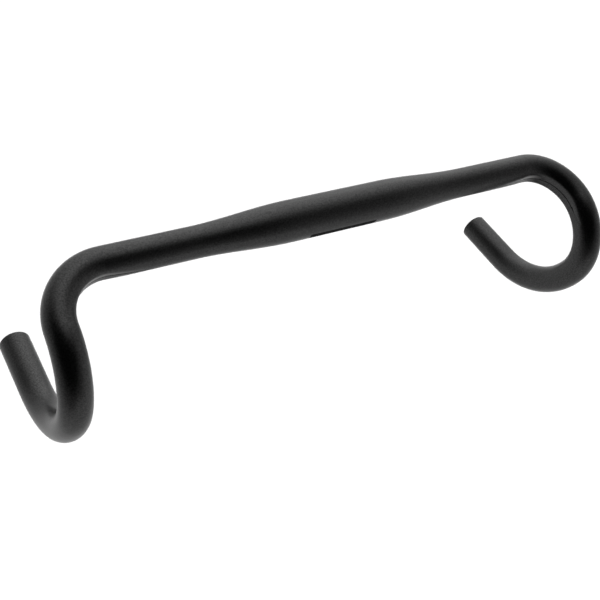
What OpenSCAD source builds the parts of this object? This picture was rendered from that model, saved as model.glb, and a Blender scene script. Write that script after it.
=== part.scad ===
// Drop handlebar for a road bike: one aluminium tube, swaged down from the clamp bulge and bent.
// The origin is the centre of the stem clamp. +X is the rider's right, along the
// clamp; +Y is forward; +Z is up. The right side is drawn, and the left mirrors it.

/* [Tube] */
// Outside diameter of the tube in the bends, ramps and drops
tube_d = 23.8; // [22.2:0.1:25.4]
// Wall thickness, the same all along the tube
wall = 1.8; // [1.4:0.1:2.4]
// Rounding of the outer edge at each open end
rim_round = 0.6; // [0.3:0.1:0.8]

/* [Clamp bulge] */
// Outside diameter where the stem clamps
clamp_d = 31.8; // [30:0.1:35]
// Length of the cylindrical clamp seat
clamp_w = 82; // [60:1:110]
// Length of each taper from the clamp seat down to the tube
taper_len = 83; // [60:1:90]

/* [Tops] */
// Length of each top, from the middle of the bar to its bend
top_len = 191; // [170:1:215]
// Centre line radius of the bend from the top to the ramp
top_bend_r = 41; // [38:1:60]
// Angle of that bend: less than 90 turns the hooks out a little
top_bend_a = 88.9; // [86:0.1:92]
// Slope of the ramps, down towards the front
ramp_slope = 6; // [0:0.5:12]

/* [Hooks] */
// Centre line radius of the hook's first arc, at the lever
hook_r = 46; // [40:1:60]
// Angle of the first arc
hook_a = 91; // [80:1:100]
// Centre line radius of the second arc, at the bottom of the hook
drop_r = 78; // [60:1:100]
// Angle of the second arc
drop_a = 70.5; // [60:0.5:80]
// Straight length at the end of each drop
drop_len = 47; // [40:1:80]

/* [Cable groove] */
// Depth of the groove pressed into the inner side of each top bend
groove_depth = 2; // [1.4:0.1:2.6]
// How far the groove runs out past each end of the bend
groove_run = 24; // [18:1:30]
// Tilt of the groove's two flanks, which meet in a shallow V
flank_tilt = 3; // [2:0.5:6]
// Angle of the groove's middle below the inner side of the bend
groove_low_a = 4; // [0:1:12]
// Width of the fine crease along the groove's floor
crease_w = 0.9; // [0.6:0.1:1.2]

/* [Hidden] */
$fn = 96;

tube_r = tube_d / 2;
clamp_r = clamp_d / 2;
clamp_end = clamp_w / 2;

// The bends from top to ramp and at the bottom of the hook come out this much thinner in
// radius, because bending stretches the tube. They lap this far into the tube at their ends
draw_in = 0.08;
lap = 0.3;

// The bore runs out past each end of the bar by this much, to cut it open
bore_past = 1;

// The taper follows half a cosine wave, in this many short cones
taper_steps = 12;

// The groove follows the bend at this radius, and runs out along a straight that leaves the
// arc at run_a past each end of the bend. The straight is shallower than the arc by run_shy
groove_r = top_bend_r - tube_r + groove_depth;
groove_drop = (tube_r - groove_depth) * sin(groove_low_a);
run_reach = sqrt(groove_run * groove_run + pow(top_bend_r - tube_r, 2));
run_a = asin(groove_run / run_reach) - acos(groove_r / run_reach);
run_shy = 0.06;
flank_w = 10;
groove_open = 8;

// A straight tube along +X, from the local origin
module straight(r, len) {
    rotate([0, 90, 0]) cylinder(r = r, h = len);
}

// A tube that leaves the local origin along +X, bends towards +Y and runs over at both ends
module bend(bend_r, a, r, over = 0) {
    over_a = over / bend_r * 180 / PI;
    translate([0, bend_r, 0]) rotate([0, 0, -90 - over_a])
        rotate_extrude(angle = a + 2 * over_a) translate([bend_r, 0]) circle(r = r);
}

// Puts its children at the end of such a bend, along the new direction
module after_bend(bend_r, a) {
    translate([bend_r * sin(a), bend_r * (1 - cos(a)), 0]) rotate([0, 0, a]) children();
}

// Half of the outline of the tops, as points [radius, place along the bar], from the middle out
function top_outline(inset, side) = concat(
    [for (i = [0 : taper_steps]) [
        tube_r - inset + (clamp_r - tube_r) * (1 + cos(180 * i / taper_steps)) / 2,
        side * (clamp_end + taper_len * i / taper_steps)
    ]],
    [[tube_r - inset, side * top_len], [0, side * top_len]]
);

// The tops and the clamp bulge, turned about the X axis. inset is 0 outside and wall inside
module tops(inset) {
    left = top_outline(inset, -1);
    rotate([0, 90, 0]) rotate_extrude() polygon(concat(
        top_outline(inset, 1),
        [for (i = [len(left) - 1 : -1 : 0]) left[i]]
    ));
}

// The straight drop. Outside it has a rounded rim, and inside it runs out past the end
module drop_end(inset) {
    if (inset > 0) {
        straight(tube_r - inset, drop_len + bore_past);
    } else {
        rotate([0, 90, 0]) rotate_extrude() {
            square([tube_r, drop_len - rim_round]);
            square([tube_r - rim_round, drop_len]);
            translate([tube_r - rim_round, drop_len - rim_round]) circle(r = rim_round);
        }
    }
}

// The right side of the bar, from the end of the top
module side_sweep(inset) {
    thin_r = tube_r - inset - draw_in;
    rotate([-ramp_slope, 0, 0]) translate([top_len, 0, 0]) {
        bend(top_bend_r, top_bend_a, thin_r, lap);
        after_bend(top_bend_r, top_bend_a) rotate([-90, 0, 0]) {
            bend(hook_r, hook_a, tube_r - inset);
            after_bend(hook_r, hook_a) {
                bend(drop_r, drop_a, thin_r, lap);
                after_bend(drop_r, drop_a) drop_end(inset);
            }
        }
    }
}

// The tool that presses the groove into the right top bend: a ring and the two straights that
// it runs out along. inset moves it into the tube, so that the wall keeps its thickness
module groove(inset) {
    rotate([-ramp_slope, 0, 0]) translate([top_len, top_bend_r, -groove_drop]) {
        rotate_extrude($fn = 180) translate([groove_r + inset, 0]) groove_section(inset);
        rotate([0, 0, -90 - run_a]) run_out(inset);
        rotate([0, 0, top_bend_a - 90 + run_a]) translate([0, groove_run, 0]) run_out(inset);
    }
}

// One straight of the groove, square to the ring's radius. It runs from there towards -y
module run_out(inset) {
    translate([groove_r + inset - run_shy, 0, 0]) rotate([90, 0, 0])
        linear_extrude(groove_run) groove_section(inset);
}

// The groove's section, open towards -x: a shallow V with a fine crease along its floor
module groove_section(inset) {
    flank_x = -flank_w * tan(flank_tilt);
    rotate(groove_low_a) {
        polygon([
            [0, 0],
            [flank_x, flank_w],
            [-groove_open, flank_w],
            [-groove_open, -flank_w],
            [flank_x, -flank_w],
        ]);
        if (inset == 0) circle(d = crease_w);
    }
}

// The whole tube as a solid rod, with both grooves pressed in
module rod(inset) {
    difference() {
        union() {
            tops(inset);
            side_sweep(inset);
            mirror([1, 0, 0]) side_sweep(inset);
        }
        groove(inset);
        mirror([1, 0, 0]) groove(inset);
    }
}

module handlebar() {
    color("#26272a") difference() {
        rod(0);
        rod(wall);
    }
}

handlebar();
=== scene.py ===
# %% [markdown]
# # A road bike drop handlebar
# The bar is one aluminium tube. It is bulged in the middle for the stem, swaged down to the
# size of the brake levers, bent, pressed for the cables, blasted with glass beads and
# anodised black. The CAD frame has its real shape and size. This scene gives it the surface
# that the real one has, on a studio floor, from the angle of the photograph.

# %% Load the frame
import math

import bmesh
import bpy
import numpy as np
from mathutils import Matrix, Vector


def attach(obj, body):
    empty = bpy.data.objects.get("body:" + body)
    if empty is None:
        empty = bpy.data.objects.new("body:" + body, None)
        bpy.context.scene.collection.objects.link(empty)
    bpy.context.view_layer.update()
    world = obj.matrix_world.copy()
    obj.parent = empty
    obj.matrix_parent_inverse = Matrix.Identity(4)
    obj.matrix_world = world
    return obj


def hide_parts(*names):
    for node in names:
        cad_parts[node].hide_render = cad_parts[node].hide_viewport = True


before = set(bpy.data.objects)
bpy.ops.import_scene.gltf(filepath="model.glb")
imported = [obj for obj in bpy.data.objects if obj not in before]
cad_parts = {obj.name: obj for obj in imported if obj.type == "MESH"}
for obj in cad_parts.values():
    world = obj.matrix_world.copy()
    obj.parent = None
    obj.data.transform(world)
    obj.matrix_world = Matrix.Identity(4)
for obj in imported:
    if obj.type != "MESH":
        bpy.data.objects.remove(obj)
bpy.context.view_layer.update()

# %% [markdown]
# ## The measures
# These are the measures of the CAD source, in millimetres and degrees. The mesh is made in
# millimetres too, and shrunk to metres when it is finished. The origin is the middle of the
# stem clamp, +X is the rider's right, +Y is forward and +Z is up.

# %% Measures from the CAD source
TUBE_R, CLAMP_R, WALL, RIM_ROUND = 11.9, 15.9, 1.8, 0.6
CLAMP_END, TAPER_LEN, TOP_LEN = 41.0, 83.0, 191.0
TOP_BEND_R, TOP_BEND_A, RAMP_SLOPE = 41.0, 88.9, 6.0
HOOK_R, HOOK_A, DROP_R, DROP_A, DROP_LEN = 46.0, 91.0, 78.0, 70.5, 47.0
GROOVE_DEPTH, GROOVE_RUN, FLANK_TILT = 2.0, 24.0, 3.0
GROOVE_LOW_A, CREASE_W = 4.0, 0.9

# the ramps slope down to the front, and the top bends lie in one plane with them
slope = math.radians(RAMP_SLOPE)
RAMP_SIDE = np.array([0, math.cos(slope), -math.sin(slope)])
RAMP_UP = np.array([0, math.sin(slope), math.cos(slope)])
print("the plane of the ramps: forward", RAMP_SIDE.round(3), "up", RAMP_UP.round(3))

# %% [markdown]
# ## The ring that becomes a tube
# A curve with a round bevel is the quickest tube, but its points are spread evenly, and a
# groove would have to be cut into it. Here the bar starts as one ring of points, which stands
# square to it at its middle. A fine crease will run along the inner side of each top bend, so
# the two edges of the ring that are nearest to it are cut up small.

# %% One ring, finer where the crease will run
GROOVE_DROP = (TUBE_R - GROOVE_DEPTH) * math.sin(math.radians(GROOVE_LOW_A))
CREASE_A = -math.asin(GROOVE_DROP / TUBE_R)
RING_EDGES, FINE_EDGES, CREASE_CUTS = 88, 2, 8


def ring(work, radius):
    """The edges of a ring at the middle of the bar. Its angles run from its side to its top."""
    start = len(work.verts)
    made = bmesh.ops.create_circle(work, segments=RING_EDGES, radius=radius)["verts"]
    crease = Vector((math.cos(CREASE_A), math.sin(CREASE_A), 0)) * radius
    edges = sorted({edge for point in made for edge in point.link_edges},
                   key=lambda edge: sum((crease - point.co).length for point in edge.verts))
    bmesh.ops.subdivide_edges(work, edges=edges[:FINE_EDGES], cuts=CREASE_CUTS)

    work.verts.ensure_lookup_table()
    points = work.verts[start:]
    for point in points:
        point.co = point.co.normalized() * radius
    stand = Matrix((RAMP_SIDE, RAMP_UP, (1, 0, 0))).transposed().to_4x4()
    bmesh.ops.transform(work, matrix=stand, verts=points)
    return list({edge for point in points for edge in point.link_edges})


print("a ring has", RING_EDGES + FINE_EDGES * CREASE_CUTS, "edges")

# %% [markdown]
# ## The radius along the bar
# Swaging squeezes the tube down between the clamp seat and the grips. It leaves a soft
# shoulder at each end of the taper. A spline would need its points placed by eye, and half a
# cosine wave already has that shape.

# %% The outside radius at each length
def outside_radius(run):
    wave = min(max((run - CLAMP_END) / TAPER_LEN, 0), 1)
    return TUBE_R + (CLAMP_R - TUBE_R) * (1 + math.cos(math.pi * wave)) / 2


print("radius every 20 mm:", [round(outside_radius(run), 1) for run in range(0, 161, 20)])

# %% [markdown]
# ## The bender
# A tube bender feeds a straight tube, turns it about its own axis and draws it round a die.
# The mesh is made in the same way: extruding the ring and moving it on makes a straight, and
# spinning it round a centre makes a bend. The ring's own frame (along, side and up) turns
# with it, so that the surface never twists. The steps are shortest where the groove will be,
# and longest where the bar is plain.

# %% Draw the ring along the bar
GROOVE_REACH = 36.0       # the groove ends well within this distance of the top bend
SEAT_STEP, TAPER_STEP, TOP_STEP, GROOVE_STEP = 8, 2.5, 6, 0.9
TOP_BEND_STEP, HOOK_STEP, DROP_STEP, END_STEP = 0.8, 1.3, 2.4, 4


def free_edges(geometry):
    """The open end of what an operator has just made."""
    return [part for part in geometry
            if isinstance(part, bmesh.types.BMEdge) and part.is_boundary]


def drawn_tube(work, inset=0.0, coarse=1):
    """Draws the right half of the tube and gives back the edges of its end.

    inset makes it thinner than the outside, and coarse makes its steps longer."""
    edges = ring(work, CLAMP_R - inset)
    place, along, side, run = Vector(), Vector((1, 0, 0)), Vector(RAMP_SIDE), 0.0

    def straight(length, step):
        nonlocal edges, place, run
        count = max(1, round(length / step / coarse))
        for _ in range(count):
            radius = outside_radius(run) - inset
            place, run = place + along * (length / count), run + length / count
            edges = free_edges(bmesh.ops.extrude_edge_only(work, edges=edges)["geom"])
            points = list({point for edge in edges for point in edge.verts})
            bmesh.ops.translate(work, vec=along * (length / count), verts=points)
            growth = (outside_radius(run) - inset) / radius
            bmesh.ops.scale(work, vec=[growth] * 3, verts=points,
                            space=Matrix.Translation(-place))

    def bend(radius, degrees, towards, step):
        nonlocal edges, place, along, side, run
        angle, axis = math.radians(degrees), along.cross(towards)
        centre = place + towards * radius
        spun = bmesh.ops.spin(work, geom=edges, cent=centre, axis=axis, angle=angle,
                              steps=round(radius * angle / step / coarse))
        edges = free_edges(spun["geom_last"])
        turn = Matrix.Rotation(angle, 3, axis)
        place, along, side = centre + turn @ (place - centre), turn @ along, turn @ side
        run += radius * angle

    straight(CLAMP_END, SEAT_STEP)
    straight(TAPER_LEN, TAPER_STEP)
    straight(TOP_LEN - CLAMP_END - TAPER_LEN - GROOVE_REACH, TOP_STEP)
    straight(GROOVE_REACH, GROOVE_STEP)
    bend(TOP_BEND_R, TOP_BEND_A, side, TOP_BEND_STEP)
    bend(HOOK_R, HOOK_A, -along.cross(side), HOOK_STEP)
    bend(DROP_R, DROP_A, -along.cross(side), DROP_STEP)
    straight(DROP_LEN, END_STEP)
    print("drawn: length, mm:", round(run, 1), "end at", [round(v, 1) for v in place])
    return edges


work = bmesh.new()
skin_end = drawn_tube(work)

# %% [markdown]
# ## The cable groove
# After bending, a tool with two nearly flat flanks, which meet in a fine crease, presses the
# cable groove into the inner side of each top bend. Pressing moves the metal and doesn't cut
# it, so a Boolean would leave lips that are too sharp. Here each point of the mesh stays on
# the round tube or moves out of the tool's way, with a small blend between the two. So the
# first thing to know is how far out a point lies, and how far out the tool reaches there.

# %% The tool, in the plane of the ramps
FLOOR_BLEND = 0.12        # half width over which the two flanks turn into each other
INNER_R = TOP_BEND_R - TUBE_R
TOOL_R = INNER_R + GROOVE_DEPTH
TOOL_CENTRE = np.array([TOP_LEN, 0, 0]) + RAMP_SIDE * TOP_BEND_R - RAMP_UP * GROOVE_DROP
# the tool leaves the bend's circle for a straight this far past each of the bend's ends
RUN_A = math.atan2(GROOVE_RUN, INNER_R) - math.acos(TOOL_R / math.hypot(GROOVE_RUN, INNER_R))


def reach_of_points(flat):
    """How far out points of the ramps' plane lie, and the way out at each of them.

    Both are taken from the bend's centre, and past its ends square to the tool's straights."""
    reach = np.linalg.norm(flat, axis=1)
    out = flat / reach[:, None]
    turn = np.arctan2(flat[:, 0], -flat[:, 1])
    bend_a = math.radians(TOP_BEND_A)
    for past, edge in ((turn < -RUN_A, -RUN_A), (turn > bend_a + RUN_A, bend_a + RUN_A)):
        square = np.array([math.sin(edge), -math.cos(edge)])
        reach = np.where(past, flat @ square, reach)
        out = np.where(past[:, None], square, out)
    return reach, out


def reach_of_tool(height, inset):
    """How far out the tool reaches at a height above its middle: two flanks and the crease."""
    ridge = np.sqrt(height ** 2 + FLOOR_BLEND ** 2) - FLOOR_BLEND
    reach = (TOOL_R + inset - height * math.tan(math.radians(GROOVE_LOW_A))
             - ridge * math.tan(math.radians(FLANK_TILT)))
    if inset == 0:
        reach = reach + np.sqrt(np.clip((CREASE_W / 2) ** 2 - height ** 2, 0, None))
    return reach


heights = np.array([-6.0, -0.5, 0.0, 0.5, 6.0])
print("at heights of", heights, "mm the tool reaches", reach_of_tool(heights, 0).round(2), "mm")

# %% [markdown]
# ### Pressing it in
# The depth is how far the tool would stand inside the metal. Below the blend a point stays
# where it is, above it the point moves out by the whole depth, and a parabola joins the two.

# %% Press the groove
LIP_BLEND = 1.0           # depth over which the round tube turns into the groove


def press_groove(points, inset=0.0):
    """Moves the points that are in the tool's way. inset keeps the wall behind the groove."""
    points = [p for p in points if p.co.x > TOP_LEN - GROOVE_REACH
              and abs(np.dot(p.co - Vector(TOOL_CENTRE), RAMP_UP)) < GROOVE_REACH]
    from_centre = np.array([p.co for p in points]) - TOOL_CENTRE
    reach, out = reach_of_points(np.stack([from_centre[:, 0], from_centre @ RAMP_SIDE], axis=1))

    depth = reach_of_tool(from_centre @ RAMP_UP, inset) - reach
    soft = np.clip(depth + LIP_BLEND, 0, 2 * LIP_BLEND) ** 2 / (4 * LIP_BLEND)
    move = np.where(depth > LIP_BLEND, depth, soft)
    outward = out[:, :1] * np.array([1.0, 0, 0]) + out[:, 1:] * RAMP_SIDE
    for point, step in zip(points, outward * move[:, None]):
        point.co += Vector(step)
    print("groove: deepest press, mm:", round(float(move.max()), 2))


press_groove(work.verts)

# %% [markdown]
# ## The bore and the ends
# The bar is a tube with two open ends. Solidify could give it a wall, but it would double
# every face of the skin, and the bore is hardly seen. So the bore is drawn as a second,
# thinner tube with longer steps, and a flat ring bridges the two at the end. The ring's outer
# edge is rounded, as a file leaves it, and its inner edge stays sharp.

# %% Draw the bore and close the wall
BORE_COARSE, RIM_STEPS = 3, 6

bore_from = len(work.verts)
bore_end = drawn_tube(work, inset=WALL, coarse=BORE_COARSE)
work.verts.ensure_lookup_table()
press_groove(work.verts[bore_from:], inset=WALL)

bmesh.ops.bridge_loops(work, edges=skin_end + bore_end)
for edge in bore_end:
    edge.smooth = False
bmesh.ops.bevel(work, geom=skin_end, offset=RIM_ROUND, offset_type="OFFSET",
                segments=RIM_STEPS, profile=0.5, affect="EDGES", material=-1)
print("half of the bar has", len(work.faces), "faces")

# %% [markdown]
# ## The whole bar
# The left half mirrors the right one. A Mirror modifier would do that too, but the whole mesh
# is wanted here, to count its open edges. A mirror can turn faces inside out, so the normals
# are worked out again once the two halves are joined.

# %% Mirror it and make the object
MM = 0.001                # metres in a millimetre
JOIN = 0.001              # points of the two halves that are this close are one, in mm

bmesh.ops.mirror(work, geom=work.verts[:] + work.edges[:] + work.faces[:],
                 matrix=Matrix.Identity(4), merge_dist=JOIN, axis="X")
bmesh.ops.recalc_face_normals(work, faces=work.faces)
bmesh.ops.scale(work, vec=[MM] * 3, verts=work.verts)
for face in work.faces:
    face.smooth = True
print("open edges:", sum(not edge.is_manifold for edge in work.edges))

mesh = bpy.data.meshes.new("bar")
work.to_mesh(mesh)
work.free()
bar = bpy.data.objects.new("bar", mesh)
bpy.context.collection.objects.link(bar)
print("bar:", len(mesh.vertices), "points,",
      sum(len(face.vertices) - 2 for face in mesh.polygons), "triangles")

# %% [markdown]
# ## The surface
# The tube is blasted with fine glass beads, which leaves a skin of tiny dimples, and then
# anodised and dyed black. The dye darkens the metal's mirror to a few per cent, and the
# dimples spread what is left of it. So the eye sees a black that is never glossy: wide soft
# bands of grey where a bright wall or the floor is mirrored, brighter at grazing angles, with
# a fine sparkle. It could be a black paint under a clear coat, but here the metal itself is
# the mirror, so the shader is a metal with a dark colour and a middling roughness.

# %% Colours and nodes
def linear(hex_colour):
    """An sRGB colour such as #26272a, as the linear colour that a shader takes."""
    channels = [int(hex_colour[k:k + 2], 16) / 255 for k in (1, 3, 5)]
    return [c / 12.92 if c <= 0.04045 else ((c + 0.055) / 1.055) ** 2.4 for c in channels] + [1]


def add(tree, kind, inputs=(), **settings):
    """A shader node. Its inputs are set to values, or linked to sockets or to other nodes."""
    node = tree.nodes.new("ShaderNode" + kind)
    for name, value in settings.items():
        setattr(node, name, value)
    for name, value in dict(inputs).items():
        if isinstance(value, bpy.types.Node):
            value = value.outputs[0]
        if isinstance(value, bpy.types.NodeSocket):
            tree.links.new(value, node.inputs[name])
        else:
            node.inputs[name].default_value = value
    return node


print("#363636 is", [round(c, 4) for c in linear("#363636")[:3]], "in linear light")

# %% [markdown]
# ### The strip on the clamp seat
# The front of the clamp seat is roughened in a narrow strip, so that the stem grips it. The
# strip's colour is also darkened to nearly black, and that darkness is painted shade: the
# shadow of a support under the clamp seat. It could be a group of faces with a material of its
# own, but then its edges would follow the mesh.
# So it is a mask on the one material, worked out from Object coordinates: how far along the
# bar a point is, and at which angle round it. They lie still on the bar and need no unwrapping.

# %% The strip's mask and its knurl
STRIP_HALF = 30.0                    # half the length of the strip, in mm
STRIP_TOP_A, STRIP_LOW_A = 0, 28      # its edges, in degrees above and below the seat's front
STRIP_EDGE = 0.2                     # half the width of its soft edge, in mm
KNURL_PITCH = 1.4                   # from one ridge to the next, in mm


def grip_strip_and_painted_shade(tree, place):
    """Two masks, 0 outside the strip: the strip, with its painted shade, and its knurl's
    height.
    """
    x, y, z = add(tree, "SeparateXYZ", {0: place}).outputs
    around = add(tree, "Math", {0: z, 1: y}, operation="ARCTAN2")

    off_middle = add(tree, "Math", {0: x}, operation="ABSOLUTE")
    across = add(tree, "Math", {0: STRIP_HALF * MM, 1: off_middle}, operation="SUBTRACT")
    under_top = add(tree, "Math", {0: math.radians(STRIP_TOP_A), 1: around},
                    operation="SUBTRACT")
    over_low = add(tree, "Math", {0: math.radians(STRIP_LOW_A), 1: around}, operation="ADD")
    turned_in = add(tree, "Math", {0: under_top, 1: over_low}, operation="MINIMUM")
    arc_in = add(tree, "Math", {0: turned_in, 1: CLAMP_R * MM}, operation="MULTIPLY")
    inside = add(tree, "Math", {0: across, 1: arc_in}, operation="MINIMUM")
    grip_and_shade = add(tree, "MapRange", {"Value": inside, "From Min": -STRIP_EDGE * MM,
                                  "From Max": STRIP_EDGE * MM}, interpolation_type="SMOOTHSTEP")

    # two families of fine ridges that cross
    arc = add(tree, "Math", {0: around, 1: CLAMP_R * MM}, operation="MULTIPLY")
    ridges = []
    for way in ("ADD", "SUBTRACT"):
        slant = add(tree, "Math", {0: x, 1: arc}, operation=way)
        phase = add(tree, "Math", {0: slant, 1: 2 * math.pi / (KNURL_PITCH * MM)},
                    operation="MULTIPLY")
        ridges.append(add(tree, "Math", {0: phase}, operation="SINE"))
    both = add(tree, "Math", {0: ridges[0], 1: ridges[1]}, operation="ADD")
    knurl = add(tree, "Math", {0: both, 1: grip_and_shade}, operation="MULTIPLY")
    return grip_and_shade, knurl


print("strip:", 2 * STRIP_HALF, "mm long and",
      round(math.radians(STRIP_TOP_A + STRIP_LOW_A) * CLAMP_R, 1), "mm high round the seat")

# %% [markdown]
# ### The dye
# The dimples take the dye a little unevenly, so that the black is speckled up close. A
# picture of a real surface would need unwrapping, and a noise of the right size does as well.

# %% The dyed colour
# the strip's near-black colour is painted shade: the shadow of a support under the clamp seat
DYED, STRIP_PAINTED_SHADE = "#363636", "#161616"
DIMPLE_DYE = 0.42                   # by how much a dimple may be lighter or darker
DIMPLE_LOW, DIMPLE_HIGH = 0.3, 0.7  # nearly all of the noise lies between these two


def dyed_colour_and_painted_shade(tree, grip_and_shade, dimples):
    # the plain dye outside the strip, and inside it the painted shade of the support's shadow
    plain = add(tree, "Mix", {0: grip_and_shade, 6: linear(DYED), 7: linear(STRIP_PAINTED_SHADE)},
                data_type="RGBA")
    speckle = add(tree, "MapRange", {
        "Value": dimples, "From Min": DIMPLE_LOW, "From Max": DIMPLE_HIGH,
        "To Min": 1 - DIMPLE_DYE, "To Max": 1 + DIMPLE_DYE})
    dyed = add(tree, "Mix", {0: 1.0, 6: plain.outputs[2], 7: speckle},
               data_type="RGBA", blend_type="MULTIPLY")
    return dyed.outputs[2]


print("the dye lets", [round(k * linear(DYED)[0], 3) for k in (1 - DIMPLE_DYE, 1 + DIMPLE_DYE)],
      "of the light back")

# %% [markdown]
# ### The roughness
# The dimples also spread the light. A second, much wider noise changes the roughness a little
# from place to place, because no blasting is quite even, and one roughness all over would
# make the soft bands of grey look too perfect.

# %% The blasted roughness
BODY_ROUGH, GRIP_ROUGH = 0.31, 0.85
DIMPLE_ROUGH, WIDE_ROUGH = 0.10, 0.04       # how much of it each noise can change


def blasted_roughness(tree, grip_and_shade, dimples, wide):
    # both noises are a half on average, so half of what each adds is taken off again
    fine = add(tree, "Math", {0: dimples, 1: DIMPLE_ROUGH, 2: BODY_ROUGH - DIMPLE_ROUGH / 2},
               operation="MULTIPLY_ADD")
    slow = add(tree, "Math", {0: wide, 1: WIDE_ROUGH, 2: -WIDE_ROUGH / 2},
               operation="MULTIPLY_ADD")
    skin = add(tree, "Math", {0: fine, 1: slow}, operation="ADD")
    return add(tree, "Math", {0: grip_and_shade, 1: GRIP_ROUGH - BODY_ROUGH, 2: skin},
               operation="MULTIPLY_ADD")


print("roughness: skin", BODY_ROUGH, "and strip", GRIP_ROUGH)

# %% [markdown]
# ### Black anodised aluminium
# The same dimples tilt the surface, which makes the sparkle. They could be modelled, but that
# would take millions of points, so a Bump node only turns the normal.

# %% The material
EDGE_TINT = 0.80                    # a dyed skin mirrors less than bare metal at grazing angles
# the pitch of the dimples and of the wide noise, in mm. Real dimples are about 0.1 mm wide,
# which is too fine to show from here, so they are drawn about ten times as coarse
DIMPLE_PITCH, WIDE_PITCH = 10 / 9, 50 / 3
DIMPLE_DETAIL, DIMPLE_ROUGHNESS, WIDE_DETAIL = 3, 0.6, 2
BUMP, BUMP_STRENGTH, KNURL_HEIGHT = 0.12, 0.5, 0.8      # mm, and two shares of it


def black_anodised():
    # bead-blasted and black anodised aluminium: a soft, satin black with a fine sparkle
    material = bpy.data.materials.new("black_anodised_blasted_aluminium")
    material.use_nodes = True
    tree = material.node_tree
    shader = tree.nodes["Principled BSDF"]
    shader.inputs["Metallic"].default_value = 1.0
    shader.inputs["Specular Tint"].default_value = (EDGE_TINT, EDGE_TINT, EDGE_TINT, 1)

    place = add(tree, "TexCoord").outputs["Object"]
    grip_and_shade, knurl = grip_strip_and_painted_shade(tree, place)
    dimples = add(tree, "TexNoise", {
        "Vector": place, "Scale": 1 / (DIMPLE_PITCH * MM),
        "Detail": DIMPLE_DETAIL, "Roughness": DIMPLE_ROUGHNESS})
    wide = add(tree, "TexNoise", {
        "Vector": place, "Scale": 1 / (WIDE_PITCH * MM), "Detail": WIDE_DETAIL})

    tree.links.new(dyed_colour_and_painted_shade(tree, grip_and_shade, dimples), shader.inputs["Base Color"])
    rough = blasted_roughness(tree, grip_and_shade, dimples, wide)
    tree.links.new(rough.outputs[0], shader.inputs["Roughness"])

    height = add(tree, "Math", {0: knurl, 1: KNURL_HEIGHT, 2: dimples},
                 operation="MULTIPLY_ADD")
    bump = add(tree, "Bump", {"Strength": BUMP_STRENGTH, "Distance": BUMP * MM,
                              "Height": height})
    tree.links.new(bump.outputs[0], shader.inputs["Normal"])
    print(material.name, "has", len(tree.nodes), "nodes")
    return material


bar.data.materials.append(black_anodised())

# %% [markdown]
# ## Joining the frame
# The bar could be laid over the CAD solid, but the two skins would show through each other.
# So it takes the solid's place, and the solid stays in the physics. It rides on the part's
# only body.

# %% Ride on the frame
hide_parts("handlebar")
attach(bar, "root")
print(bar.name, "has", len(bar.data.materials), "material")

# %% [markdown]
# ## The floor
# A white floor lies well below the bar, which a stem would hold in the air, so that its
# shadow is faint. A curved paper backdrop would do the same, but the photograph shows no
# curve, so the floor is flat. It ends to the right of the bar, where the photograph's tubes
# mirror a darker side of the room.

# %% The floor
FLOOR_Z, FLOOR_HALF, FLOOR_EDGE = -0.62, 14.0, 0.95     # metres


def floor():
    # matt white floor paint, rolled on: bright and even, with hardly any gloss
    material = bpy.data.materials.new("matt_white_floor_paint")
    material.use_nodes = True
    shader = material.node_tree.nodes["Principled BSDF"]
    shader.inputs["Base Color"].default_value = linear("#f6f6f6")
    shader.inputs["Roughness"].default_value = 0.9
    shader.inputs["Specular IOR Level"].default_value = 0.1

    work = bmesh.new()
    bmesh.ops.create_grid(work, x_segments=1, y_segments=1, size=FLOOR_HALF)
    bmesh.ops.translate(work, vec=(FLOOR_EDGE - FLOOR_HALF, 0, FLOOR_Z), verts=work.verts)
    data = bpy.data.meshes.new("floor")
    work.to_mesh(data)
    work.free()
    data.materials.append(material)
    made = bpy.data.objects.new("floor", data)
    bpy.context.collection.objects.link(made)
    print("floor:", 2 * FLOOR_HALF, "m wide, ends at x =", FLOOR_EDGE, "m")


floor()

# %% [markdown]
# ## The room
# The room is a soft white tent with a dark opening overhead, towards the front. The blasted
# skin mirrors all of it: the bright back wall along the upper side of each tube, the opening
# as its dark core, and the floor below. Panels of light would do that too, but each adds an
# edge and some noise. So the tent is painted on the world, and its brightness depends on the
# direction alone. The camera itself sees plain white beyond the floor.

# %% Paint the tent
# a direction is its azimuth from +X towards +Y and its elevation, in degrees, and a limit is
# a cosine of the angle from it, or a difference of two cosines for the band
OPENING, OPENING_EDGE, CLOTH_FULL = (35, 54), 0.66, -0.06
OPENING_DARK, CLOTH_BRIGHT = 0.015, 0.82
BAND_SIDE, BAND_OFF, BAND_EDGE, BAND_END = (-45, 0), 0.27, 0.05, 0.86
BACK, BACK_START, BACK_FULL, BACK_BRIGHT = (-135, -5), -0.3, 0.3, 1.6
SEEN_WHITE = 1.0


def toward(tree, direction, azimuth, elevation):
    """How far each direction of the room points the same way as this one, from -1 to 1."""
    a, e = math.radians(azimuth), math.radians(elevation)
    aim = (math.cos(e) * math.cos(a), math.cos(e) * math.sin(a), math.sin(e))
    return add(tree, "VectorMath", {0: direction, 1: aim},
               operation="DOT_PRODUCT").outputs["Value"]


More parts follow.
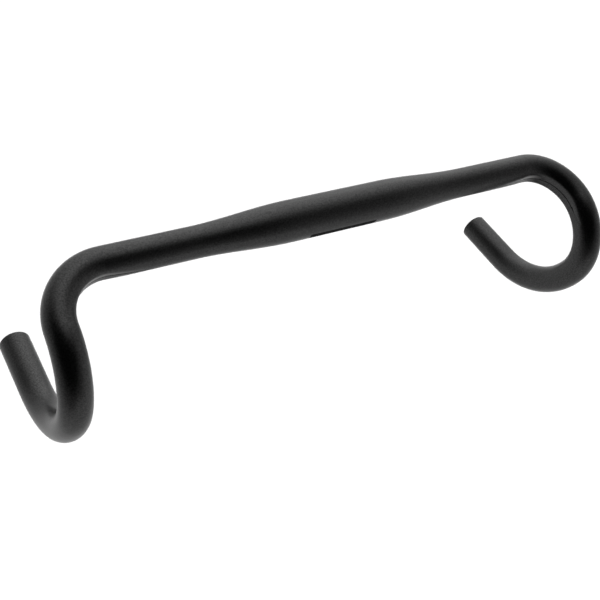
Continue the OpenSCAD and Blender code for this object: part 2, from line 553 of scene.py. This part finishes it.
def room():
    """The tent: a dark opening overhead in front, and a bright back wall behind the bar."""
    world = bpy.data.worlds.new("studio")
    world.use_nodes = True
    tree = world.node_tree
    direction = add(tree, "TexCoord").outputs["Generated"]
    cloth = add(tree, "MapRange", {
        "Value": toward(tree, direction, *OPENING), "From Min": OPENING_EDGE,
        "From Max": CLOTH_FULL, "To Min": OPENING_DARK, "To Max": CLOTH_BRIGHT},
        interpolation_type="LINEAR")

    # the back wall is brightest in an upright band, and fades out to both sides of it
    beside = add(tree, "Math", {0: toward(tree, direction, *BAND_SIDE), 1: BAND_OFF},
                 operation="SUBTRACT")
    beside = add(tree, "Math", {0: beside}, operation="ABSOLUTE")
    band = add(tree, "MapRange", {
        "Value": beside, "From Min": BAND_EDGE, "From Max": BAND_END,
        "To Min": 1.0, "To Max": 0.0}, interpolation_type="SMOOTHSTEP")
    behind = add(tree, "MapRange", {
        "Value": toward(tree, direction, *BACK), "From Min": BACK_START,
        "From Max": BACK_FULL, "To Min": 0.0, "To Max": BACK_BRIGHT},
        interpolation_type="SMOOTHSTEP")
    tent = add(tree, "Math", {0: band, 1: behind, 2: cloth}, operation="MULTIPLY_ADD")

    seen = add(tree, "LightPath").outputs["Is Camera Ray"]
    shown = add(tree, "Mix", {0: seen, 2: tent, 3: SEEN_WHITE}, data_type="FLOAT")
    tree.links.new(shown.outputs[0], tree.nodes["Background"].inputs["Strength"])
    tree.nodes["Background"].inputs["Color"].default_value = (1, 1, 1, 1)
    bpy.context.scene.world = world
    print("room: the opening is at", OPENING, "and the back wall at", BACK, "degrees")


room()

# %% [markdown]
# ## The light from above
# The tent alone leaves the floor a little grey. A wide, even light from straight above makes
# it white. A disc lamp would light the middle more than the distance, and a sun lights all of
# the floor alike. The skin doesn't mirror it, because the photograph shows no such lamp.

# %% The sky light
SKY_ENERGY, SKY_WIDTH = 1.8, 70     # watts per square metre, and degrees


def sky_light():
    data = bpy.data.lights.new("sky_light", "SUN")
    data.energy, data.angle = SKY_ENERGY, math.radians(SKY_WIDTH)
    made = bpy.data.objects.new("sky_light", data)
    bpy.context.collection.objects.link(made)
    made.visible_glossy = False
    print("sky light:", SKY_ENERGY, "W/m2,", SKY_WIDTH, "degrees wide")


sky_light()

# %% [markdown]
# ## The camera
# The camera stands to the right of the bar, in front of it and above it, and is rolled, as
# it was in the photograph. It could be placed by eye, but its place, angle and lens come from
# fitting the bar's outline. The standard view transform keeps white as white.

# %% Camera
CAMERA_PLACE = (0.4070, 0.3324, 0.5702)
LOOKS = np.array([-0.4770, -0.3730, -0.7960])
IMAGE_UP = np.array([-0.2290, -0.8210, 0.5220])
FOCAL_PX, FRAME_PX, SENSOR = 1006.66, 600, 36.0


def camera():
    data = bpy.data.cameras.new("camera")
    data.sensor_width, data.lens = SENSOR, FOCAL_PX / FRAME_PX * SENSOR
    made = bpy.data.objects.new("camera", data)
    bpy.context.collection.objects.link(made)
    back = -LOOKS / np.linalg.norm(LOOKS)
    up = IMAGE_UP - back * IMAGE_UP.dot(back)
    up /= np.linalg.norm(up)
    turn = Matrix(np.column_stack([np.cross(up, back), up, back]).tolist()).to_4x4()
    made.matrix_world = Matrix.Translation(CAMERA_PLACE) @ turn
    bpy.context.scene.camera = made
    print("camera:", round(data.lens, 1), "mm lens,", CAMERA_PLACE, "m")


camera()
bpy.context.scene.view_settings.view_transform = "Standard"
